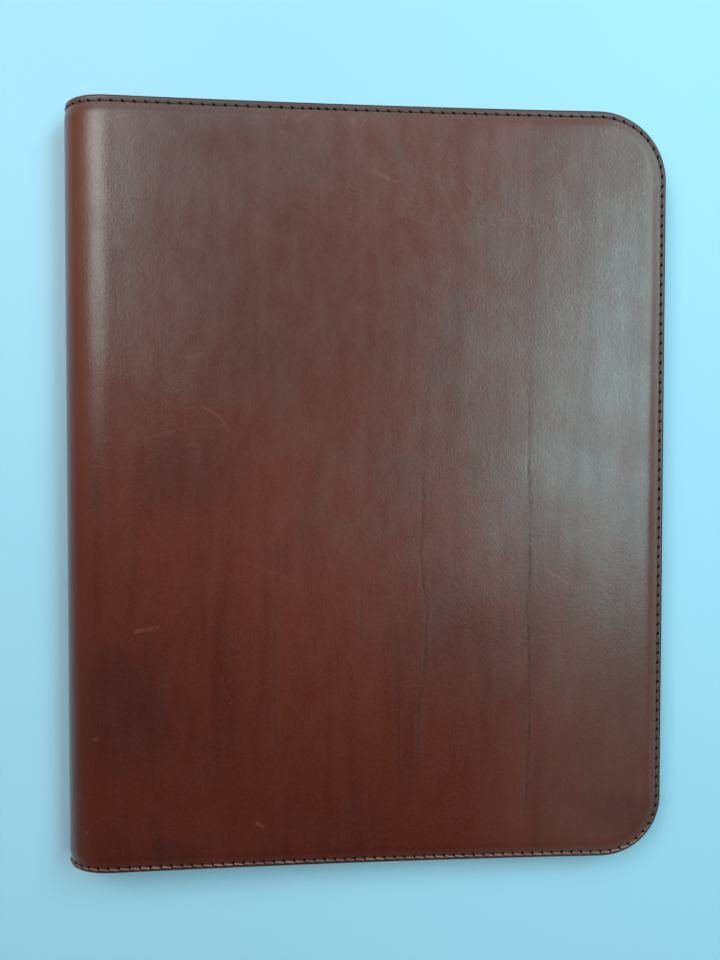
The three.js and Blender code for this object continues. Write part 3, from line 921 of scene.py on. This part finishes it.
pocket(
    "pad_pocket_panel", "back_cover", 0.0, PAD_POCKET_U, tail_limit, level(PAD_POCKET_TOP),
    lambda u, y: POCKET_DEPTH + (PAD_POCKET_DEPTH - POCKET_DEPTH) * smooth(3.7, 4.1, pad_pocket_sides(u, y)),
    PAD_POCKET_FACE, pad_pocket_edge, "pad_pocket",
)

# ---------------- pen loop: a strip wrapped round a pen, its ends together
PEN_X, PEN_Y, PEN_LENGTH, PEN_BORE, PEN_LEATHER = -108.0, 78.0, 40.0, 5.1, 1.1
TAB_END, LAYER_GAP = -99.5, 0.04
pen_radius = PEN_BORE + PEN_LEATHER / 2
pen_z = POCKET_DEPTH + PEN_BORE + PEN_LEATHER


def pen_loop_line():
    """Middle of the strip across the loop: out from the tab, round the pen and back on to the tab."""
    low, high = POCKET_DEPTH + PEN_LEATHER / 2, POCKET_DEPTH + 1.5 * PEN_LEATHER + LAYER_GAP
    turn = np.radians(np.linspace(-90, -345, 52))
    arc = [(PEN_X + pen_radius * math.cos(t), pen_z + pen_radius * math.sin(t)) for t in turn]
    x0, z0 = arc[-1]
    ease = [(0, 0), (0.17, -0.95), (0.42, -2.1), (0.95, -3.2), (1.7, -3.95)]
    fall = [(x0 + dx * (TAB_END - x0 - 2.6) / 1.7, z0 + dz * (z0 - high) / 3.95) for dx, dz in ease[1:]]
    tab = [(TAB_END - 0.05 - k, low) for k in (0, 0.1, 0.3, 0.8, 2.0, 3.5, 5.0, 6.5)]
    last = fall[-1][0]
    out = [(last + (TAB_END - 0.25 - last) * k, high) for k in (0.35, 0.6, 0.85, 0.95, 1.0)]
    return np.array(tab + arc + fall + out)


def strip(name, line, thickness, y, material, end_round):
    """A closed strip of leather along a line in the XZ plane."""
    for _ in range(2):
        line[1:-1] = (line[:-2] + 2 * line[1:-1] + line[2:]) / 4
    along = np.gradient(line, axis=0)
    along /= norm(along, axis=1, keepdims=True)
    normal = np.stack([-along[:, 1], along[:, 0]], 1)
    run = np.r_[0, np.cumsum(norm(np.diff(line, axis=0), axis=1))]
    edge = np.minimum.outer(np.minimum(run, run[-1] - run), np.minimum(y - y[0], y[-1] - y))
    half = thickness / 2 - rounding(edge, end_round) * 0.85
    points, flat = [], []
    n, m = len(line), len(y)
    for side in (1, -1):
        xz = line[:, None, :] + side * half[:, :, None] * normal[:, None, :]
        yy = np.broadcast_to(y, (n, m))
        points.append(np.stack([xz[..., 0], yy, xz[..., 1]], -1).reshape(-1, 3) * MM)
        runs = np.broadcast_to(run[:, None], (n, m))
        flat.append(np.stack([runs, yy, np.full((n, m), side)], -1).reshape(-1, 3))
    obj = new_object(name, np.concatenate(points), closed_faces(n, m), material)
    keep_flat_coordinates(obj, np.concatenate(flat), np.concatenate([edge.ravel(), edge.ravel()]))
    return obj


pen_rows = ladder(PEN_Y - PEN_LENGTH / 2, PEN_Y + PEN_LENGTH / 2, 2.0, [0.0, 0.05, 0.15, 0.3, 0.5, 1.0])
pen_loop = strip("pen_loop_strap", pen_loop_line(), PEN_LEATHER, pen_rows, POCKET, 0.4)
carry(pen_loop, "back_cover", "inner_leather", "pen_loop")

# ---------------- stitches
THREAD_R, SEAM_THREAD_R = 0.27, 0.24
THREAD_CROWN, THREAD_DIVE, DIVE_POWER = 0.62, 0.55, 7
TWIST, TWIST_RELIEF = 1.5, 0.16
HOLE_LONG, HOLE_WIDE, HOLE_SLANT, HOLE_PROUD, HOLE_THICK = 0.78, 0.56, 0.3, 0.06, 0.4
# Stitch lengths; past ROW_END the row runs along the head or tail, where its two ends overlap
ROW_END = 150
TAIL_STITCHES = (-128, -148)
PITCH = {"head": 4.5, "tail": 4.2, "fore": 4.1, "back_stitch": 3.3, "seam": 3.6}


def resample(path, pitch):
    """Points of a path of (u, y), a whole number of stitches apart; pitch may vary along it."""
    length = norm(np.diff(path, axis=0), axis=1)
    middle = (path[1:] + path[:-1]) / 2
    count = np.r_[0, np.cumsum(length / pitch(middle))]
    count *= round(count[-1]) / count[-1]
    whole = np.arange(int(round(count[-1])) + 1)
    return np.stack([np.interp(whole, count, path[:, k]) for k in (0, 1)], 1)


def even_slant(y):
    """Slant of a stitch, its shift towards the edge, and how far it stops short of its holes' middles."""
    return 0.3, 0.0, 0.5


def outer_slant(y):
    """The same on the outside, where the stitches lie more slanted and longer at the tail."""
    tail = float(smooth(*TAIL_STITCHES, y)) if y < TAIL_STITCHES[0] else 0.0
    return 0.3 + 0.25 * tail, 0.5 * tail, 0.5 - 0.4 * tail


def stitch_row(points, face, up, slant_of=even_slant, radius=THREAD_R):
    """Vertices, faces and material numbers of a row: a twisted thread between each two needle holes, and at
    each hole a dark disc of painted shade.

    face gives the depth of the leather's surface, and up is -1 on the outside of the cover and 1 inside it.
    """
    verts, flat, faces, kinds = [], [], [], []
    share = np.array([0.0, 0.05, 0.11, 0.2, 0.32, 0.44, 0.56, 0.68, 0.8, 0.89, 0.95, 1.0])
    crown = radius * THREAD_CROWN
    lift = crown - (crown + THREAD_DIVE) * np.abs(2 * share - 1) ** DIVE_POWER
    sides = 8
    phi = np.arange(sides) * 2 * math.pi / sides

    def add(uv, depth, quads, kind):
        faces.extend(shifted(quads, verts))
        verts.append(place(uv[:, 0], uv[:, 1], depth))
        flat.append(np.c_[uv, depth])
        kinds.extend([kind] * len(quads))

    def band(low, high, count):
        return [[low + j, low + (j + 1) % count, high + (j + 1) % count, high + j] for j in range(count)]

    tube = [quad for k in range(len(share) - 1) for quad in band(k * sides, (k + 1) * sides, sides)]
    tube += [list(range(sides)), [(len(share) - 1) * sides + j for j in range(sides)]]
    for p, q in zip(points[:-1], points[1:]):
        run = q - p
        length = norm(run)
        along, across = run / length, np.array([-run[1], run[0]]) / length
        s, f = np.meshgrid(share, phi, indexing="ij")
        slant, shift, gap = slant_of(p[1])
        twist = 2 * f - 2 * math.pi * s * length / TWIST
        r = radius * (1 + TWIST_RELIEF * np.cos(twist))
        lean = slant * (0.5 - s) + shift
        centre = p + (gap + s * (length - 2 * gap))[..., None] * along + lean[..., None] * across
        uv = centre + (r * np.cos(f))[..., None] * across
        depth = face(centre[..., 0], centre[..., 1]) + up * (lift[:, None] + r * np.sin(f))
        add(uv.reshape(-1, 2), depth.ravel(), tube, 0)
    # Each needle hole is a flat dark disc just proud of the leather, painted shade of the hole.
    rim_points = 12
    lens = [list(range(rim_points)), list(range(rim_points, 2 * rim_points))]
    lens += band(0, rim_points, rim_points)
    psi = np.arange(rim_points) * 2 * math.pi / rim_points
    for k, p in enumerate(points):
        run = points[min(k + 1, len(points) - 1)] - points[max(k - 1, 0)]
        along = run / norm(run)
        across = np.array([-along[1], along[0]])
        uv = p + HOLE_LONG * np.cos(psi)[:, None] * along + HOLE_WIDE * np.sin(psi)[:, None] * across
        uv = uv - HOLE_SLANT * np.cos(psi)[:, None] * across
        top = face(uv[:, 0], uv[:, 1]) + up * HOLE_PROUD
        add(np.r_[uv, uv], np.r_[top, top - up * HOLE_THICK], lens, 1)
    return np.concatenate(verts), np.concatenate(flat), faces, kinds


def stitches(name, *rows_built):
    """One object of several rows, with the thread and the painted shade of the needle holes as its two
    materials.
    """
    verts, flat, faces, kinds = [], [], [], []
    for row_verts, row_flat, row_faces, row_kinds in rows_built:
        faces += shifted(row_faces, verts)
        verts.append(row_verts)
        flat.append(row_flat)
        kinds += row_kinds
    obj = new_object(name, np.concatenate(verts), faces, THREAD, HOLE)
    obj.data.polygons.foreach_set("material_index", kinds)
    keep_flat_coordinates(obj, np.concatenate(flat))
    return obj


def corner_arc(end, up, fore_sign):
    """Quarter of a corner of the stitch line, from the fore edge to the head or tail."""
    inset, fore = STITCH_INSET[end], STITCH_INSET["fore"]
    radius = CORNER_R[end] - max(inset, fore)
    angle = np.linspace(0, math.pi / 2, 40)
    f = fore + radius - radius * np.cos(angle)
    y = HALF_H - inset - radius + radius * np.sin(angle)
    return np.stack([f if fore_sign > 0 else U_END - f, up * y], 1)


def stitch_path():
    """The whole stitch line, from the middle of the back cover's fore edge round by the head and the tail."""
    back_head, front_head = corner_arc("head", 1, 1), corner_arc("head", 1, -1)
    back_tail, front_tail = corner_arc("tail", -1, 1), corner_arc("tail", -1, -1)
    u = np.linspace(back_head[-1, 0], front_head[-1, 0], 600)[1:-1]
    head = np.stack([u, HALF_H - STITCH_INSET["head"] - pinch(u)], 1)
    tail = np.stack([u[::-1], -(HALF_H - STITCH_INSET["tail"] - pinch(u[::-1]))], 1)
    start = np.array([[STITCH_INSET["fore"], 0.0]])
    by_head, by_tail = [back_head, head, front_head[::-1]], [front_tail, tail, back_tail[::-1]]
    return np.concatenate([start, *by_head, *by_tail, start])


BACK_STITCH = (front_u(-28), front_u(-13))


def perimeter_pitch(points):
    u, y = points.T
    head = y > ROW_END
    pitch = np.where(head, PITCH["head"], np.where(y < -ROW_END, PITCH["tail"], PITCH["fore"]))
    return np.where(head & (u > BACK_STITCH[0]) & (u < BACK_STITCH[1]), PITCH["back_stitch"], pitch)


perimeter = resample(stitch_path(), perimeter_pitch)


def inner_face(u, y):
    """Depth of whatever the thread comes out on inside the cover."""
    face = lining_face(u, y)
    on_document = (u > DOCUMENT_GUTTER) & (y < NOTCH_TOP)
    on_pad = (u < PAD_POCKET_U) & (y < PAD_POCKET_TOP)
    return np.where(on_document, POCKET_FACE - 0.1, np.where(on_pad, PAD_POCKET_FACE - 0.1, face))


def runs_in(points, low, high):
    """The stretches of a row whose stitches have their middle between two distances round the cover."""
    middle = (points[:-1, 0] + points[1:, 0]) / 2
    keep = np.flatnonzero((middle >= low) & (middle < high))
    runs = np.split(keep, np.flatnonzero(np.diff(keep) > 1) + 1)
    return [points[run[0]:run[-1] + 2] for run in runs]


for i, section_name in enumerate(SECTIONS):
    built = []
    for run in runs_in(perimeter, *SPANS[i]):
        built.append(stitch_row(run, hide_top, -1, outer_slant))
        built.append(stitch_row(run, inner_face, 1))
    piece = stitches(f"stitches_{section_name}", *built)
    bend(piece, i, "thread", *cover_nodes("perimeter_thread", i, ("_head", "_tail")))


def flat_seam(stem, body, corners, depth, number=""):
    """A row of stitches along straight lines of a flat face."""
    path = [np.array(corners[0], float)]
    for p, q in zip(corners, corners[1:]):
        steps = np.linspace(0, 1, 30)[1:, None]
        path += list(np.array(p) + (np.array(q) - np.array(p)) * steps)
    points = resample(np.array(path), lambda middle: PITCH["seam"])
    row = stitch_row(points, flat_at(depth - 0.1), 1, radius=SEAM_THREAD_R)
    carry(stitches(f"{stem}_seam{number}", row), body, "thread", f"{stem}_thread{number}")


SEAM_TAIL = -151.0
seam_u = DOCUMENT_GUTTER + SEAM_INSET
flat_seam("document_pocket", "front_cover", [(seam_u, NOTCH_TOP - 2.5), (seam_u, SEAM_TAIL)], POCKET_FACE)
left, right = CARD_U[0] + SEAM_INSET, CARD_U[1] - SEAM_INSET
for i, top in enumerate(CARD_TOPS):
    low = (CARD_TOPS[1] if i == 0 else CARD_BOTTOM) + SEAM_INSET
    high = top - SEAM_INSET
    corners = [(left, high), (left, low), (right, low), (right, high)]
    flat_seam("card_pocket", "front_cover", corners, card_faces[i], f"_{i + 1}")
seam_u = PAD_POCKET_U - SEAM_INSET
flat_seam("pad_pocket", "back_cover", [(seam_u, PAD_POCKET_TOP - 3), (seam_u, SEAM_TAIL)], PAD_POCKET_FACE)
seam_u = HALF_W - (TAB_END - 1.15)
pen_seam = [(seam_u, PEN_Y + k * (PEN_LENGTH / 2 - 2)) for k in (-1, 1)]
flat_seam("pen_loop", "back_cover", pen_seam, POCKET_DEPTH + 2 * PEN_LEATHER + LAYER_GAP)

# ---------------- writing pad
PAD_LOW, PAD_HIGH = (Vector(c) * 1000 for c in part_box("paper_block"))
SHEETS, SHEET_SHARE, RIPPLE = 25, 0.86, 0.012


def paper_block():
    """Loose sheets, each a thin closed leaf, a little uneven at the edges and rippled higher up."""
    rng = np.random.default_rng(7)
    n, m = 12, 16
    gap = (PAD_HIGH.z - PAD_LOW.z) / SHEETS
    verts, faces = [], []
    s, t = np.meshgrid(np.linspace(0, 1, n), np.linspace(0, 1, m), indexing="ij")
    for k in range(SHEETS):
        dx, dy, narrow = rng.uniform(-0.12, 0.12), rng.uniform(0, 0.15), rng.uniform(0, 0.12)
        x = PAD_LOW.x + 0.15 + dx + (PAD_HIGH.x - PAD_LOW.x - 0.3 - narrow) * s
        y = PAD_LOW.y + dy + (PAD_HIGH.y - PAD_LOW.y - 0.16) * t
        z = PAD_LOW.z + gap * k + RIPPLE * np.sin(5 * s + k * 0.3) * np.sin(7 * t) * (k / SHEETS) ** 2
        faces += shifted(closed_faces(n, m), verts)
        for offset in (0.0, gap * SHEET_SHARE):
            verts.append(np.stack([x, y, z + offset], -1).reshape(-1, 3) * MM)
    return new_object("paper_sheets", np.concatenate(verts), faces, paper_material(), smooth_shading=False)


carry(paper_block(), "writing_pad", "paper", "paper_block")

TAPE_LOW, TAPE_HIGH = (Vector(c) * 1000 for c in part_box("pad_binding"))
TAPE_T = 0.3


def binding_line():
    """Middle of the tape across the pad: up the head and over on to the top sheet."""
    y, z, r = TAPE_HIGH.y - TAPE_T / 2, TAPE_HIGH.z - TAPE_T / 2, 0.8
    up = [(y, v) for v in np.linspace(TAPE_LOW.z, z - r, 8)]
    turn = [(y - r + r * math.cos(a), z - r + r * math.sin(a)) for a in np.radians(np.linspace(15, 90, 6))]
    over = [(v, z) for v in np.linspace(y - r - 0.6, TAPE_LOW.y, 10)]
    return np.array(up + turn + over)


def binding():
    x = ladder(TAPE_LOW.x, TAPE_HIGH.x, 6.0, [0.0, 0.05, 0.12, 0.3])
    obj = strip("pad_binding_tape", binding_line(), TAPE_T, x, tape_material(), 0.12)
    # The strip is built along Y with its section in XZ; here its section lies in YZ and it runs along X.
    co = np.empty(len(obj.data.vertices) * 3)
    obj.data.vertices.foreach_get("co", co)
    co = co.reshape(-1, 3)[:, [1, 0, 2]]
    obj.data.vertices.foreach_set("co", co.ravel())
    obj.data.flip_normals()
    obj.data.update()
    return obj


carry(binding(), "writing_pad", "binding_tape", "pad_binding")

grey_board = board_material("grey_board", (120, 114, 106), (134, 128, 120), (96, 92, 88))
kraft_board = board_material("kraft_board", (170, 136, 98), (184, 150, 112), (140, 106, 72))
for node, material in (
    ("stiffening_board_back", grey_board),
    ("stiffening_board_front", grey_board),
    ("pad_backing_board", kraft_board),
):
    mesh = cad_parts[node].data
    if not mesh.materials:
        mesh.materials.append(None)
    for k in range(len(mesh.materials)):
        mesh.materials[k] = material

# ---------------- table, lights, camera
TABLE_REACH = 6.0
corners = [(x * TABLE_REACH, y * TABLE_REACH, 0) for x, y in ((-1, -1), (1, -1), (1, 1), (-1, 1))]
table = new_object("table", corners, [(0, 1, 2, 3)], table_material(), smooth_shading=False)
table.location.z = CAD_BOX[0].z - 0.0002

DAYLIGHT = (0.62, 0.97, 1.0)
ROOM_LIGHT = (1.0, 0.95, 0.92)


def area_light(name, at, aim, size, power, up=(0, 1, 0), colour=DAYLIGHT):
    """A soft box whose height, the second size, runs along up as nearly as its aim allows."""
    data = bpy.data.lights.new(name, "AREA")
    data.shape = "RECTANGLE"
    data.size, data.size_y = size
    data.energy = power
    data.color = colour
    back = (Vector(at) - Vector(aim)).normalized()
    across = Vector(up).cross(back).normalized()
    obj = bpy.data.objects.new(name, data)
    obj.location = at
    obj.rotation_euler = Matrix((across, back.cross(across), back)).transposed().to_euler()
    bpy.context.scene.collection.objects.link(obj)


area_light(
    "window", (0.618, 0.325, 0.92), (0.12, 0.02, 0), (0.30, 1.12), 10.9,
    up=(0.34, 0.94, 0), colour=(0.5, 0.97, 1.0),
)
area_light("sky", (-0.10, 1.15, 1.25), (0, 0, 0), (1.3, 0.8), 7.0)
area_light(
    "side_window", (-0.52, 0.47, 0.90), (-0.11, 0.12, 0), (0.38, 0.62), 5.8,
    colour=(0.88, 0.96, 0.92),
)

sun = bpy.data.objects.new("overcast", bpy.data.lights.new("overcast", "SUN"))
sun.data.energy = 0.39
sun.data.angle = math.radians(100)
sun.data.color = ROOM_LIGHT
sun.rotation_euler = Euler((math.radians(-18), math.radians(-14), 0), "XYZ")
sun.visible_glossy = False
bpy.context.scene.collection.objects.link(sun)

room = Graph("soft_room", bpy.data.worlds, "Background")
height = room.part(room.places["Generated"], 2)
room.put(room.shader, {"Color": (*DAYLIGHT, 1.0), "Strength": room.ramp(height, 0.02, 0.34, 0.55, 0.02)})
bpy.context.scene.world = room.owner
bpy.context.scene.view_settings.view_transform = "Standard"

camera_data = bpy.data.cameras.new("camera")
camera_data.sensor_width = 36.0
camera_data.lens = 28.05
camera_data.clip_start = 0.01
camera = bpy.data.objects.new("camera", camera_data)
camera.location = (-0.01478, 0.01047, 0.32603)
camera.rotation_euler = Euler([math.radians(a) for a in (-1.322, -2.046, 0.053)], "XYZ")
bpy.context.scene.collection.objects.link(camera)
bpy.context.scene.camera = camera

bpy.context.view_layer.update()
